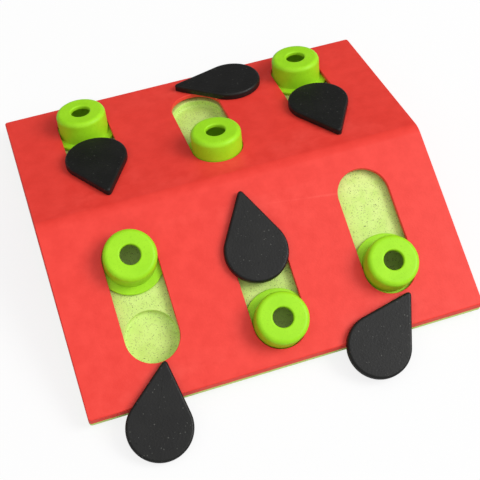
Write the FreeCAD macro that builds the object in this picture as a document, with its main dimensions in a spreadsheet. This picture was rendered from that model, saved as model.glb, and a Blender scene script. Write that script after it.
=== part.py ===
import FreeCAD, Part
import collections
import math
import os
import Sketcher

# A slanted treat puzzle for pets. A folded cover with six slots stands over a shallow tray with six
# treat cups. A hollow round slider runs in each slot, and a teardrop lid swivels over each cup.
# X runs along the ridge, -Y is the front edge, +Z is up, and the origin is the middle of the footprint.
# Places on a slope are given by the distance down it from the fold line and the height above it.

SIZES = (
    ("width", 280.0, "ridge length, side to side"),
    ("slope_length", 134.4, "fold line to the lower edge, along the slope"),
    ("slope_angle", 18.0, "tilt of each slope from level"),
    ("edge_top", 13.4, "height of the cover's lower edge above the floor"),
    ("ridge_bend", 14.5, "outside radius of the fold"),
    ("cover_wall", 3.0, "thickness of the cover's slopes"),
    ("skirt_wall", 2.5, "thickness of the cover's side walls"),
    ("skirt_bottom", 8.2, "height of the skirt's lower edge above the floor"),
    ("corner_round", 2.0, "upright corners of the cover"),
    ("edge_round", 0.9, "rounding of the cover's top edges"),
    ("slot_bevel", 0.6, "bevel of the slots' upper edges"),
    ("column_pitch", 85.0, "distance between neighbouring slots"),
    ("slot_radius", 18.6, "half the slot's width"),
    ("slot_travel", 54.8, "distance between the slot's two end centres"),
    ("edge_cup", 92.0, "cup centre down the slope where the lid swivels at the lower edge"),
    ("edge_pivot", 119.0, "that lid's pivot down the slope"),
    ("ridge_cup", 52.2, "cup centre down the slope where the lid swivels at the ridge"),
    ("ridge_pivot", 21.6, "that lid's pivot down the slope"),
    ("floor_depth", 6.0, "cover's top face to the tray floor, square to the slope"),
    ("tray_wall", 2.0, "thickness of the tray"),
    ("tray_gap", 0.3, "clearance between the tray's walls and the cover's skirt"),
    ("tray_bottom", 0.25, "height of the tray's walls above the floor"),
    ("rim_bottom", 4.65, "height of the rim's underside above the floor"),
    ("rim_gap", 0.15, "gap between the rim and the cover's skirt"),
    ("rim_inset", 0.2, "how far the rim stands back from the cover's outside"),
    ("cup_radius", 18.2, "treat cup"),
    ("cup_depth", 5.0, "treat cup below the tray floor"),
    ("cup_wall", 1.8, "wall under and around a treat cup"),
    ("cup_bevel", 1.8, "bevel at the cup's bottom"),
    ("rib_thickness", 1.8, "ribs under the tray and guide rails under the cover"),
    ("rib_bottom", 1.2, "height of the ribs' lower edges above the floor"),
    ("rail_gap", 0.4, "clearance from a slider's flange to the rails beside it"),
    ("rail_lift", 0.2, "clearance from the rails to the tray floor"),
    ("slider_gap", 0.3, "clearance above and below a slider's flange"),
    ("flange_radius", 23.6, "slider's flange under the cover"),
    ("knob_radius", 18.2, "slider's knob where it passes the slot"),
    ("knob_height", 14.5, "knob's top above the cover"),
    ("knob_wall", 2.4, "wall of the hollow knob"),
    ("knob_plate", 3.0, "thickness of the knob's top"),
    ("knob_bevel", 1.6, "bevel of the knob's top edge"),
    ("hole_radius", 7.0, "finger hole in the knob"),
    ("lid_head_radius", 22.3, "round end of a teardrop lid"),
    ("lid_tip_radius", 2.4, "point of a teardrop lid"),
    ("lid_head_reach", 35.0, "pivot to the middle of the round end"),
    ("lid_tip_reach", 8.0, "pivot to the extreme of the point"),
    ("lid_gap", 0.3, "lid's underside above the cover"),
    ("lid_thickness", 5.2, "thickness in the middle of the round end"),
    ("lid_bevel", 1.1, "bevel of the lid's upper edge"),
    ("post_radius", 2.0, "pivot post under a lid"),
    ("post_clearance", 0.05, "radial play of the post in its hole"),
    ("pivot_screw_radius", 1.0, "shank of the screw in the post"),
    ("pivot_screw_length", 5.0, "that screw's shank"),
    ("thread_bite", 0.1, "how far a screw's thread bites into its hole, radially"),
    ("pivot_head_radius", 3.0, "that screw's wide head"),
    ("pivot_head_height", 1.3, "height of that screw's head"),
    ("case_screw_radius", 1.5, "shank of a case screw"),
    ("case_screw_length", 8.0, "that screw's shank"),
    ("case_head_radius", 2.8, "head of a case screw"),
    ("case_head_height", 2.0, "height of that screw's head"),
    ("screw_seat", 4.0, "height of the heads' seats above the floor"),
    ("seat_web", 2.0, "tray material between a screw's head and the boss"),
    ("boss_radius", 4.0, "screw boss under the cover"),
    ("socket_gap", 0.2, "clearance of a boss in its socket"),
    ("socket_wall", 2.0, "wall of the tray's sockets"),
    ("shank_hole", 1.8, "clearance hole for a case screw"),
    ("head_hole", 3.4, "recess for a case screw's head"),
    ("corner_screw_x", 127.0, "corner screws from the middle, along the ridge"),
    ("corner_screw_y", 102.0, "corner screws from the middle, across the ridge"),
    ("ridge_screw_x", 42.5, "ridge screws from the middle, along the ridge"),
    ("rib_y", 63.0, "long ribs from the middle, across the ridge"),
    ("foot_radius", 6.0, "non-slip pad"),
    ("foot_height", 2.0, "non-slip pad's thickness"),
    ("foot_margin", 0.8, "how far a pad's seat stands out around it"),
    ("foot_x", 108.0, "pads from the middle, along the ridge"),
    ("foot_y", 113.5, "pads from the middle, across the ridge"),
    ("front_left_slider", 38.4, "slider's place down the slope"),
    ("front_middle_slider", 106.8, "slider's place down the slope"),
    ("front_right_slider", 90.5, "slider's place down the slope"),
    ("back_left_slider", 102.8, "slider's place down the slope"),
    ("back_middle_slider", 37.4, "slider's place down the slope"),
    ("back_right_slider", 104.6, "slider's place down the slope"),
    ("front_left_swing", -20.7, "lid's turn from pointing down the slope"),
    ("front_middle_swing", -2.0, "lid's turn from pointing down the slope"),
    ("front_right_swing", -48.2, "lid's turn from pointing down the slope"),
    ("back_left_swing", 0.5, "lid's turn from pointing down the slope"),
    ("back_middle_swing", 103.0, "lid's turn from pointing down the slope"),
    ("back_right_swing", 0.0, "lid's turn from pointing down the slope"),
)

TINY = 0.01  # places closer than this count as one
JOIN = 0.5  # how far a feature reaches into the one that it joins
PAST = 1.0  # how far a cut runs past the face that it opens
FRONT, BACK = 1, -1

# Each play station: its name, its slope, its column, and the end of the slot that has the cup.
Station = collections.namedtuple("Station", "name side column cup_end")
STATIONS = (
    Station("front_left", FRONT, -1, "edge"),
    Station("front_middle", FRONT, 0, "ridge"),
    Station("front_right", FRONT, 1, "edge"),
    Station("back_left", BACK, -1, "ridge"),
    Station("back_middle", BACK, 0, "edge"),
    Station("back_right", BACK, 1, "ridge"),
)


class Size:
    """A number together with the sheet formula that gives it."""

    def __init__(self, value, formula):
        self.value = value
        self.formula = formula

    def joined(self, sign, other, value):
        return Size(value, f"({self.formula} {sign} {as_size(other).formula})")

    def __add__(self, other):
        return self.joined("+", other, self.value + as_size(other).value)

    def __sub__(self, other):
        return self.joined("-", other, self.value - as_size(other).value)

    def __mul__(self, other):
        return self.joined("*", other, self.value * as_size(other).value)

    def __truediv__(self, other):
        return self.joined("/", other, self.value / as_size(other).value)

    def __neg__(self):
        return self * -1


def as_size(number):
    return number if isinstance(number, Size) else Size(float(number), str(float(number)))


def sine(angle):
    return Size(math.sin(math.radians(angle.value)), f"sin({angle.formula})")


def cosine(angle):
    return Size(math.cos(math.radians(angle.value)), f"cos({angle.formula})")


def fill_sheet(doc):
    """Write every driving dimension to the sheet and return them by name."""
    sheet = doc.addObject("Spreadsheet::Sheet", "Sizes")
    for row, (name, value, note) in enumerate(SIZES, start=1):
        sheet.set(f"A{row}", note)
        sheet.set(f"B{row}", str(value))
        sheet.setAlias(f"B{row}", name)
    doc.recompute()
    return {name: Size(value, f"Sizes.{name}") for name, value, note in SIZES}


doc = FreeCAD.newDocument("treat_puzzle")
size = fill_sheet(doc)
zero = as_size(0)
lean = size["slope_angle"]
half_width = size["width"] / 2
half_depth = size["slope_length"] * cosine(lean)
fold_height = size["edge_top"] + size["slope_length"] * sine(lean)
slope_fall = sine(lean) / cosine(lean)


def slope_placement(side, along, down, height, turn=None):
    """Formula for a frame on a slope: X along the ridge, Z square to the slope, then turned about Z."""
    y = (down * cosine(lean) + height * sine(lean)) * -side
    z = fold_height - down * sine(lean) + height * cosine(lean)
    tilt = f"rotation(vector(1; 0; 0); {(lean * side).formula})"
    if turn is not None:
        tilt += f" * rotation(vector(0; 0; 1); {turn.formula})"
    return f"placement(vector({along.formula}; {y.formula}; {z.formula}); {tilt})"


def level_placement(x, y, z):
    return f"placement(vector({x.formula}; {y.formula}; {z.formula}); rotation(vector(0; 0; 1); 0))"


def height_under_cover(y, depth):
    """Height above the floor at distance y from the ridge, a depth square to the slope below the cover."""
    return fold_height - y * slope_fall - depth / cosine(lean)


def along_ridge(station):
    """The station's column, from the middle."""
    return size["column_pitch"] * station.column


def cup_place(station):
    return size[f"{station.cup_end}_cup"]


def pivot_place(station):
    return size[f"{station.cup_end}_pivot"]


def park_place(station):
    """The slot's end centre away from the cup."""
    travel = size["slot_travel"]
    return cup_place(station) - travel if station.cup_end == "edge" else cup_place(station) + travel


def in_order(*places):
    return sorted(places, key=lambda place: place.value)


def slot_ends(station, margin=0.0):
    """The slot's two end centres, or a margin beyond them, as places on a sketch of its slope."""
    upper, lower = in_order(cup_place(station), park_place(station))
    return in_order((upper - margin) * -station.side, (lower + margin) * -station.side)


def new_body(name):
    body = doc.addObject("PartDesign::Body", name)
    body.Label = name
    return body


def new_sketch(body, name, role="XY_Plane", offset=None):
    """A sketch on one of the body's own planes, moved by an offset formula."""
    sketch = body.newObject("Sketcher::SketchObject", f"{body.Name}_{name}")
    support = next(plane for plane in body.Origin.OriginFeatures if plane.Role == role)
    sketch.AttachmentSupport = [(support, "")]
    sketch.MapMode = "FlatFace"
    if offset is not None:
        sketch.setExpression("AttachmentOffset", offset)
    return sketch


def pin(sketch, kind, targets, value):
    """Add one dimension to a sketch and bind it to its formula."""
    index = sketch.addConstraint(Sketcher.Constraint(kind, *targets, value.value))
    sketch.setExpression(f"Constraints[{index}]", value.formula)


def pin_point(sketch, edge, end, x, y):
    pin(sketch, "DistanceX", (-1, 1, edge, end), x)
    pin(sketch, "DistanceY", (-1, 1, edge, end), y)


def vector(x, y):
    return FreeCAD.Vector(x.value, y.value, 0)


def draw_polygon(sketch, corners):
    """Close a loop of straight edges through the corners."""
    first = sketch.GeometryCount
    count = len(corners)
    for here in range(count):
        start, end = corners[here], corners[(here + 1) % count]
        sketch.addGeometry(Part.LineSegment(vector(*start), vector(*end)), False)
    for here in range(count):
        following = first + (here + 1) % count
        sketch.addConstraint(Sketcher.Constraint("Coincident", first + here, 2, following, 1))
        pin_point(sketch, first + here, 1, *corners[here])


def draw_rectangle(sketch, x_low, x_high, y_low, y_high):
    draw_polygon(sketch, [(x_low, y_low), (x_high, y_low), (x_high, y_high), (x_low, y_high)])


def draw_circle(sketch, x, y, radius):
    circle = Part.Circle(vector(x, y), FreeCAD.Vector(0, 0, 1), radius.value)
    edge = sketch.addGeometry(circle, False)
    pin(sketch, "Radius", (edge,), radius)
    pin_point(sketch, edge, 3, x, y)


def draw_arc(sketch, x, y, radius, start_angle, end_angle):
    circle = Part.Circle(vector(x, y), FreeCAD.Vector(0, 0, 1), radius.value)
    return sketch.addGeometry(Part.ArcOfCircle(circle, start_angle, end_angle), False)


def draw_slot(sketch, x, y_low, y_high, radius):
    """An upright slot with round ends."""
    left, right = x - radius, x + radius
    first = sketch.addGeometry(Part.LineSegment(vector(right, y_low), vector(right, y_high)), False)
    upper = draw_arc(sketch, x, y_high, radius, 0, math.pi)
    second = sketch.addGeometry(Part.LineSegment(vector(left, y_high), vector(left, y_low)), False)
    lower = draw_arc(sketch, x, y_low, radius, math.pi, 2 * math.pi)
    pin_point(sketch, first, 1, right, y_low)
    pin_point(sketch, first, 2, right, y_high)
    pin_point(sketch, second, 1, left, y_high)
    pin_point(sketch, second, 2, left, y_low)
    sketch.addConstraint(Sketcher.Constraint("Coincident", first, 2, upper, 1))
    sketch.addConstraint(Sketcher.Constraint("Coincident", upper, 2, second, 1))
    sketch.addConstraint(Sketcher.Constraint("Coincident", second, 2, lower, 1))
    sketch.addConstraint(Sketcher.Constraint("Coincident", lower, 2, first, 1))
    pin(sketch, "DistanceY", (-1, 1, upper, 3), y_high)
    pin(sketch, "DistanceY", (-1, 1, lower, 3), y_low)


def add_feature(body, kind, name, sketch, length, middle=False, flip=False):
    """A pad or a pocket of a bound length, with a test that it really adds or cuts material."""
    before = body.Shape.Volume if body.Tip else 0
    feature = body.newObject(f"PartDesign::{kind}", f"{body.Name}_{name}")
    feature.Profile = sketch
    feature.Midplane = middle
    feature.Reversed = flip
    feature.setExpression("Length", length.formula)
    doc.recompute()
    change = feature.Shape.Volume - before
    if (change <= 0) == (kind == "Pad"):
        raise ValueError(f"{feature.Name} changes the volume by {change:.1f} mm3")
    return feature


def pad(body, name, sketch, length, middle=False, flip=False):
    return add_feature(body, "Pad", name, sketch, length, middle, flip)


def pocket(body, name, sketch, length, middle=False, flip=False):
    return add_feature(body, "Pocket", name, sketch, length, middle, flip)


def treat_edges(body, kind, name, dimension, amount, chosen):
    base = body.Tip
    edges = [f"Edge{n}" for n, edge in enumerate(base.Shape.Edges, start=1) if chosen(edge)]
    if not edges:
        raise ValueError(f"{body.Name}: no edge for {name}")
    feature = body.newObject(f"PartDesign::{kind}", f"{body.Name}_{name}")
    feature.Base = (base, edges)
    feature.setExpression(dimension, amount.formula)
    doc.recompute()
    return feature


def round_edges(body, name, radius, chosen):
    """Fillet every edge of the body's present shape that the test chooses."""
    return treat_edges(body, "Fillet", name, "Radius", radius, chosen)


def bevel_edges(body, name, amount, chosen):
    """Chamfer every edge of the body's present shape that the test chooses."""
    return treat_edges(body, "Chamfer", name, "Size", amount, chosen)


def revolve(body, corners):
    """Turn a half section, drawn as a polygon of radius and height, about the body's Z axis."""
    sketch = new_sketch(body, "section", "XZ_Plane")
    draw_polygon(sketch, corners)
    feature = body.newObject("PartDesign::Revolution", f"{body.Name}_turned")
    feature.Profile = sketch
    feature.ReferenceAxis = (sketch, ["V_Axis"])
    feature.Angle = 360
    doc.recompute()
    return feature


def is_circle(edge, radius):
    """Is this a full circle of the radius?"""
    if not isinstance(edge.Curve, Part.Circle) or not edge.isClosed():
        return False
    return abs(edge.Curve.Radius - radius.value) < TINY


def is_ring(edge, radius, height):
    """Is this a full circle of the radius at the height, about the body's Z axis?"""
    return is_circle(edge, radius) and abs(edge.Curve.Center.z - height.value) < TINY


def folded_outline(reach, bottom, depth):
    """The gable-shaped section, cut square at `reach` from the ridge, a depth below the cover's top."""
    shoulder = height_under_cover(reach, depth)
    return [
        (-reach, bottom),
        (reach, bottom),
        (reach, shoulder),
        (zero, height_under_cover(zero, depth)),
        (-reach, shoulder),
    ]


def is_ridge_line(edge, height):
    """Is this the straight edge along the ridge at the height?"""
    middle = edge.BoundBox.Center
    level = edge.BoundBox.YLength < TINY and edge.BoundBox.ZLength < TINY
    return level and abs(middle.y) < TINY and abs(middle.z - height.value) < TINY


def corner_screws():
    for across in (-1, 1):
        for along in (-1, 1):
            yield size["corner_screw_x"] * along, size["corner_screw_y"] * across


def ridge_screws():
    for along in (-1, 1):
        yield size["ridge_screw_x"] * along, zero


def all_screws():
    return list(corner_screws()) + list(ridge_screws())


def stations_on(side):
    return [station for station in STATIONS if station.side == side]


def make_top_cover():
    """Folded cover: skirt all round, six slots, pivot holes, rails for the sliders, screw bosses."""
    body = new_body("top_cover")
    outline = new_sketch(body, "outline", "YZ_Plane")
    draw_polygon(outline, folded_outline(half_depth, size["skirt_bottom"], zero))
    pad(body, "block", outline, size["width"], middle=True)
    round_edges(body, "fold", size["ridge_bend"], lambda edge: is_ridge_line(edge, fold_height))
    round_edges(body, "corners", size["corner_round"], is_upright)
    round_edges(body, "top_edges", size["edge_round"], is_outer_top_edge)
    wall, skirt = size["cover_wall"], size["skirt_wall"]
    hollow = new_sketch(body, "hollow", "YZ_Plane")
    draw_polygon(hollow, folded_outline(half_depth - skirt, size["skirt_bottom"] - PAST, wall))
    pocket(body, "inside", hollow, size["width"] - skirt * 2, middle=True)
    inner_fold = height_under_cover(zero, wall)
    round_edges(body, "inner_fold", size["ridge_bend"] - wall, lambda edge: is_ridge_line(edge, inner_fold))
    for side in (FRONT, BACK):
        cut_slots(body, side)
    for side in (FRONT, BACK):
        add_rails(body, side)
    add_bosses(body)
    return body


def is_upright(edge):
    box = edge.BoundBox
    return box.XLength < TINY and box.YLength < TINY


def is_outer_top_edge(edge):
    """Is this part of the slopes' outer rim, and not of the fold or of the skirt's lower edge?"""
    box = edge.BoundBox
    above_skirt = box.ZMin > size["skirt_bottom"].value + TINY
    fold_line = box.YLength < TINY and abs(box.Center.y) < size["ridge_bend"].value
    return above_skirt and not fold_line


def add_rails(body, side):
    """Two rails under the cover beside each slot, which keep the slider's flange in line."""
    wall, thickness = size["cover_wall"], size["rib_thickness"]
    root_depth = wall - size["slot_bevel"]
    plane = slope_placement(side, zero, zero, -root_depth)
    sketch = new_sketch(body, f"rails_{side + 1}", offset=plane)
    offset = size["flange_radius"] + size["rail_gap"]
    for station in stations_on(side):
        low, high = slot_ends(station, size["flange_radius"])
        middle = along_ridge(station)
        for flank in (-1, 1):
            left, right = in_order(middle + offset * flank, middle + (offset + thickness) * flank)
            draw_rectangle(sketch, left, right, low, high)
    length = size["floor_depth"] - size["rail_lift"] - root_depth
    pad(body, f"rail_pads_{side + 1}", sketch, length, flip=True)


def add_bosses(body):
    """Screw bosses under the corners and under the fold that drop into the tray's sockets."""
    wall = size["cover_wall"]
    low = size["screw_seat"] + size["seat_web"] + size["rim_gap"]
    corner_top = height_under_cover(size["corner_screw_y"], wall / 2)
    ridge_top = height_under_cover(zero, wall / 2)
    for label, places, top in (("corner", corner_screws, corner_top), ("ridge", ridge_screws, ridge_top)):
        posts = new_sketch(body, f"{label}_bosses", offset=level_placement(zero, zero, low))
        bores = new_sketch(body, f"{label}_boss_bores", offset=level_placement(zero, zero, low))
        for x, y in places():
            draw_circle(posts, x, y, size["boss_radius"])
            draw_circle(bores, x, y, size["case_screw_radius"] - size["thread_bite"])
        pad(body, f"{label}_boss_pads", posts, top - low)
        pocket(body, f"{label}_boss_cuts", bores, size["case_screw_length"], flip=True)


def cut_slots(body, side):
    """Three slots and three pivot holes through one slope."""
    through = size["cover_wall"] + PAST
    slots = new_sketch(body, f"slots_{side + 1}", offset=slope_placement(side, zero, zero, zero))
    pivots = new_sketch(body, f"pivots_{side + 1}", offset=slope_placement(side, zero, zero, zero))
    bore = size["post_radius"] + size["post_clearance"]
    for station in stations_on(side):
        low, high = slot_ends(station)
        draw_slot(slots, along_ridge(station), low, high, size["slot_radius"])
        draw_circle(pivots, along_ridge(station), pivot_place(station) * -side, bore)
    pocket(body, f"slot_cuts_{side + 1}", slots, through)
    pocket(body, f"pivot_bores_{side + 1}", pivots, through)
    bevel_edges(body, f"slot_edges_{side + 1}", size["slot_bevel"], lambda edge: is_slot_edge(edge, side))


def height_over_slope(point, side):
    """How far a point lies above the cover's top face, square to the slope."""
    angle = math.radians(lean.value)
    rise = point.z - fold_height.value
    return rise * math.cos(angle) - side * point.y * math.sin(angle)


def on_slot_outline(point, station):
    """Is this point on the top face, at the slot's radius from its middle line?"""
    down = math.hypot(point.y, fold_height.value - point.z)
    upper, lower = in_order(cup_place(station), park_place(station))
    past_end = max(upper.value - down, down - lower.value, 0)
    distance = math.hypot(point.x - along_ridge(station).value, past_end)
    on_top = abs(height_over_slope(point, station.side)) < TINY
    return on_top and abs(distance - size["slot_radius"].value) < TINY


def is_slot_edge(edge, side):
    """Is this an upper edge of one of the slope's slots?"""
    places = (edge.FirstParameter, (edge.FirstParameter + edge.LastParameter) / 2, edge.LastParameter)
    points = [edge.valueAt(place) for place in places]
    return any(all(on_slot_outline(point, station) for point in points) for station in stations_on(side))


def make_base_tray():
    """Folded tray: floor under the slots, six cups, a rim, ribs, screw sockets and seats for the pads."""
    body = new_body("base_tray")
    reach = half_depth - size["skirt_wall"] - size["tray_gap"]
    length = size["width"] - (size["skirt_wall"] + size["tray_gap"]) * 2
    depth, wall = size["floor_depth"], size["tray_wall"]
    outline = new_sketch(body, "outline", "YZ_Plane")
    draw_polygon(outline, folded_outline(reach, size["tray_bottom"], depth))
    pad(body, "block", outline, length, middle=True)
    hollow = new_sketch(body, "hollow", "YZ_Plane")
    draw_polygon(hollow, folded_outline(reach - wall, size["tray_bottom"] - PAST, depth + wall))
    pocket(body, "underside", hollow, length - wall * 2, middle=True)
    add_rim(body, reach, length)
    for side in (FRONT, BACK):
        add_cup_wells(body, side)
    add_ribs(body, reach, length)
    add_sockets(body)
    trim_above_floor(body, reach, length)
    top = height_under_cover(zero, depth)
    round_edges(body, "fold", size["ridge_bend"] - depth, lambda edge: is_ridge_line(edge, top))
    cut_screw_holes(body)
    for side in (FRONT, BACK):
        cut_cups(body, side)
    return body


def add_rim(body, reach, length):
    """The rim round the tray's walls, which shows as a pale line under the cover's skirt."""
    rim_x, rim_y = half_width - size["rim_inset"], half_depth - size["rim_inset"]
    inner_x, inner_y = length / 2 - size["tray_wall"] / 2, reach - size["tray_wall"] / 2
    sketch = new_sketch(body, "rim", offset=level_placement(zero, zero, size["rim_bottom"]))
    draw_rectangle(sketch, -rim_x, rim_x, -rim_y, rim_y)
    draw_rectangle(sketch, -inner_x, inner_x, -inner_y, inner_y)
    pad(body, "rim_pad", sketch, size["skirt_bottom"] - size["rim_gap"] - size["rim_bottom"])
    round_edges(body, "rim_corners", size["corner_round"], lambda edge: is_rim_corner(edge, rim_x))


def is_rim_corner(edge, rim_x):
    return is_upright(edge) and abs(abs(edge.BoundBox.Center.x) - rim_x.value) < TINY


def add_cup_wells(body, side):
    """The solid wells that hang under the floor, to be hollowed into cups."""
    root_depth = size["floor_depth"] + size["tray_wall"] / 2
    sketch = new_sketch(body, f"wells_{side + 1}", offset=slope_placement(side, zero, zero, -root_depth))
    for station in stations_on(side):
        x, y = along_ridge(station), cup_place(station) * -side
        draw_circle(sketch, x, y, size["cup_radius"] + size["cup_wall"])
    length = size["cup_depth"] + size["cup_wall"] - size["tray_wall"] / 2
    pad(body, f"well_pads_{side + 1}", sketch, length, flip=True)


def add_ribs(body, reach, length):
    """Ribs under the floor: two from front to back, and three along the ridge's direction."""
    low, thickness = size["rib_bottom"], size["rib_thickness"]
    depth = size["floor_depth"] + size["tray_wall"] / 2
    for along, label in ((-1, "left"), (1, "right")):
        place = level_placement(zero, zero, size["ridge_screw_x"] * along)
        sketch = new_sketch(body, f"{label}_rib", "YZ_Plane", place)
        draw_polygon(sketch, folded_outline(reach - size["tray_wall"] / 2, low, depth))
        pad(body, f"{label}_rib_pad", sketch, thickness, middle=True)
    half = length / 2 - size["tray_wall"] / 2
    for across, label in ((-1, "front"), (0, "ridge"), (1, "back")):
        place_y = size["rib_y"] * across
        top = height_under_cover(size["rib_y"] * abs(across), depth)
        if across == 0:
            top = top - size["tray_wall"]
        sketch = new_sketch(body, f"{label}_cross_rib", offset=level_placement(zero, zero, low))
        draw_rectangle(sketch, -half, half, place_y - thickness / 2, place_y + thickness / 2)
        pad(body, f"{label}_cross_rib_pad", sketch, top - low)


def add_sockets(body):
    """Round posts for the case screws, and flat round seats for the non-slip pads."""
    low = size["rib_bottom"]
    radius = size["boss_radius"] + size["socket_gap"] + size["socket_wall"]
    depth = size["floor_depth"]
    corner_top = height_under_cover(size["corner_screw_y"] - radius, depth)
    ridge_top = height_under_cover(zero, depth)
    for label, places, top in (("corner", corner_screws, corner_top), ("ridge", ridge_screws, ridge_top)):
        sketch = new_sketch(body, f"{label}_sockets", offset=level_placement(zero, zero, low))
        for x, y in places():
            draw_circle(sketch, x, y, radius)
        pad(body, f"{label}_socket_pads", sketch, top - low)
    seat_radius = size["foot_radius"] + size["foot_margin"]
    seats = new_sketch(body, "foot_seats", offset=level_placement(zero, zero, size["foot_height"]))
    for x, y in foot_places():
        draw_circle(seats, x, y, seat_radius)
    top = height_under_cover(size["foot_y"] - seat_radius, depth)
    pad(body, "foot_seat_pads", seats, top - size["foot_height"])


def foot_places():
    for across in (-1, 1):
        for along in (-1, 1):
            yield size["foot_x"] * along, size["foot_y"] * across


def trim_above_floor(body, reach, length):
    """Cut the posts and seats off level with the sloping floor."""
    depth = size["floor_depth"]
    high = fold_height + PAST
    shoulder = height_under_cover(reach, depth)
    sketch = new_sketch(body, "trim", "YZ_Plane")
    draw_polygon(
        sketch,
        [
            (-reach, shoulder),
            (zero, height_under_cover(zero, depth)),
            (reach, shoulder),
            (reach, high),
            (-reach, high),
        ],
    )
    pocket(body, "trim_cut", sketch, length, middle=True)


def cut_screw_holes(body):
    """Stepped bores: a socket for the boss, a hole for the shank, and a recess for the head."""
    seat, web = size["screw_seat"], size["seat_web"]
    bores = (
        ("boss_sockets", size["boss_radius"] + size["socket_gap"], seat + web, fold_height),
        ("shank_holes", size["shank_hole"], seat - PAST, web + PAST * 2),
        ("head_recesses", size["head_hole"], zero, seat),
    )
    for label, radius, low, length in bores:
        sketch = new_sketch(body, label, offset=level_placement(zero, zero, low))
        for x, y in all_screws():
            draw_circle(sketch, x, y, radius)
        pocket(body, f"{label}_cut", sketch, length, flip=True)


def cut_cups(body, side):
    """Hollow the wells into round cups with a soft bottom corner."""
    depth = size["floor_depth"]
    sketch = new_sketch(body, f"cups_{side + 1}", offset=slope_placement(side, zero, zero, -depth))
    for station in stations_on(side):
        draw_circle(sketch, along_ridge(station), cup_place(station) * -side, size["cup_radius"])
    pocket(body, f"cup_cuts_{side + 1}", sketch, size["cup_depth"])
    floor_height = -(depth + size["cup_depth"]).value
    bevel_edges(
        body,
        f"cup_bevels_{side + 1}",
        size["cup_bevel"],
        lambda edge: is_cup_ring(edge, side, floor_height),
    )


def is_cup_ring(edge, side, height):
    """Is this a cup's full circle at a height over the slope?"""
    if not is_circle(edge, size["cup_radius"]):
        return False
    return abs(height_over_slope(edge.Curve.Center, side) - height) < TINY


def make_slider(station):
    """Hollow round knob with a finger hole, on a flange that runs between the cover and the tray."""
    body = new_body(f"slider_{station.name}")
    bottom = size["slider_gap"] - size["floor_depth"]
    flange_top = -size["cover_wall"] - size["slider_gap"]
    top = size["knob_height"]
    cavity = size["knob_radius"] - size["knob_wall"]
    ceiling = top - size["knob_plate"]
    revolve(
        body,
        [
            (cavity, bottom),
            (size["flange_radius"], bottom),
            (size["flange_radius"], flange_top),
            (size["knob_radius"], flange_top),
            (size["knob_radius"], top),
            (size["hole_radius"], top),
            (size["hole_radius"], ceiling),
            (cavity, ceiling),
        ],
    )
    bevel_edges(body, "top_edge", size["knob_bevel"], lambda edge: is_ring(edge, size["knob_radius"], top))
    place = slope_placement(station.side, along_ridge(station), size[f"{station.name}_slider"], zero)
    body.setExpression("Placement", place)
    return body


def pivot_placement(station, height):
    """Formula for the frame at a lid's pivot, with its X axis along the lid."""
    turn = (size[f"{station.name}_swing"] - 90) * station.side
    return slope_placement(station.side, along_ridge(station), pivot_place(station), height, turn)


def draw_teardrop(sketch):
    """A large arc and a small one, joined by two straight flanks that touch both."""
    head, tip = size["lid_head_radius"], size["lid_tip_radius"]
    head_x = size["lid_head_reach"]
    tip_x = tip - size["lid_tip_reach"]
    flank = math.asin((head.value - tip.value) / (head_x.value - tip_x.value))
    touch = math.pi / 2 + flank
    big = draw_arc(sketch, head_x, zero, head, -touch, touch)
    small = draw_arc(sketch, tip_x, zero, tip, touch, 2 * math.pi - touch)

    def at(centre, radius, angle):
        x = centre.value + radius.value * math.cos(angle)
        return FreeCAD.Vector(x, radius.value * math.sin(angle), 0)

    upper = sketch.addGeometry(Part.LineSegment(at(head_x, head, touch), at(tip_x, tip, touch)), False)
    lower = sketch.addGeometry(Part.LineSegment(at(tip_x, tip, -touch), at(head_x, head, -touch)), False)
    pin_point(sketch, big, 3, head_x, zero)
    pin(sketch, "Radius", (big,), head)
    pin_point(sketch, small, 3, tip_x, zero)
    pin(sketch, "Radius", (small,), tip)
    for joint in ((big, 2, upper, 1), (upper, 2, small, 1), (small, 2, lower, 1), (lower, 2, big, 1)):
        sketch.addConstraint(Sketcher.Constraint("Tangent", *joint))


def make_lid(station):
    """Teardrop lid with a bevelled top edge and a round pivot post under its point."""
    body = new_body(f"lid_{station.name}")
    under = size["lid_gap"]
    outline = new_sketch(body, "outline", offset=level_placement(zero, zero, under))
    draw_teardrop(outline)
    pad(body, "blank", outline, size["lid_thickness"])
    bevel_edges(body, "top_edge", size["lid_bevel"], lambda edge: edge.BoundBox.ZMin > under.value + TINY)
    post = new_sketch(body, "post", offset=level_placement(zero, zero, under + JOIN))
    draw_circle(post, zero, zero, size["post_radius"])
    reach = size["cover_wall"] + size["post_clearance"]
    pad(body, "post_pad", post, reach + under + JOIN, flip=True)
    bore = new_sketch(body, "bore", offset=level_placement(zero, zero, -reach))
    draw_circle(bore, zero, zero, size["pivot_screw_radius"] - size["thread_bite"])
    pocket(body, "bore_cut", bore, size["pivot_screw_length"], flip=True)
    body.setExpression("Placement", pivot_placement(station, zero))
    return body


def make_lid_screw(station):
    """Small screw with a wide head, driven from below into the pivot post to hold it in."""
    body = new_body(f"lid_screw_{station.name}")
    head, shank = size["pivot_head_radius"], size["pivot_screw_radius"]
    low, high = -size["pivot_head_height"], size["pivot_screw_length"]
    revolve(body, [(zero, low), (head, low), (head, zero), (shank, zero), (shank, high), (zero, high)])
    depth = -size["cover_wall"] - size["post_clearance"]
    body.setExpression("Placement", pivot_placement(station, depth))
    return body


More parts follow.
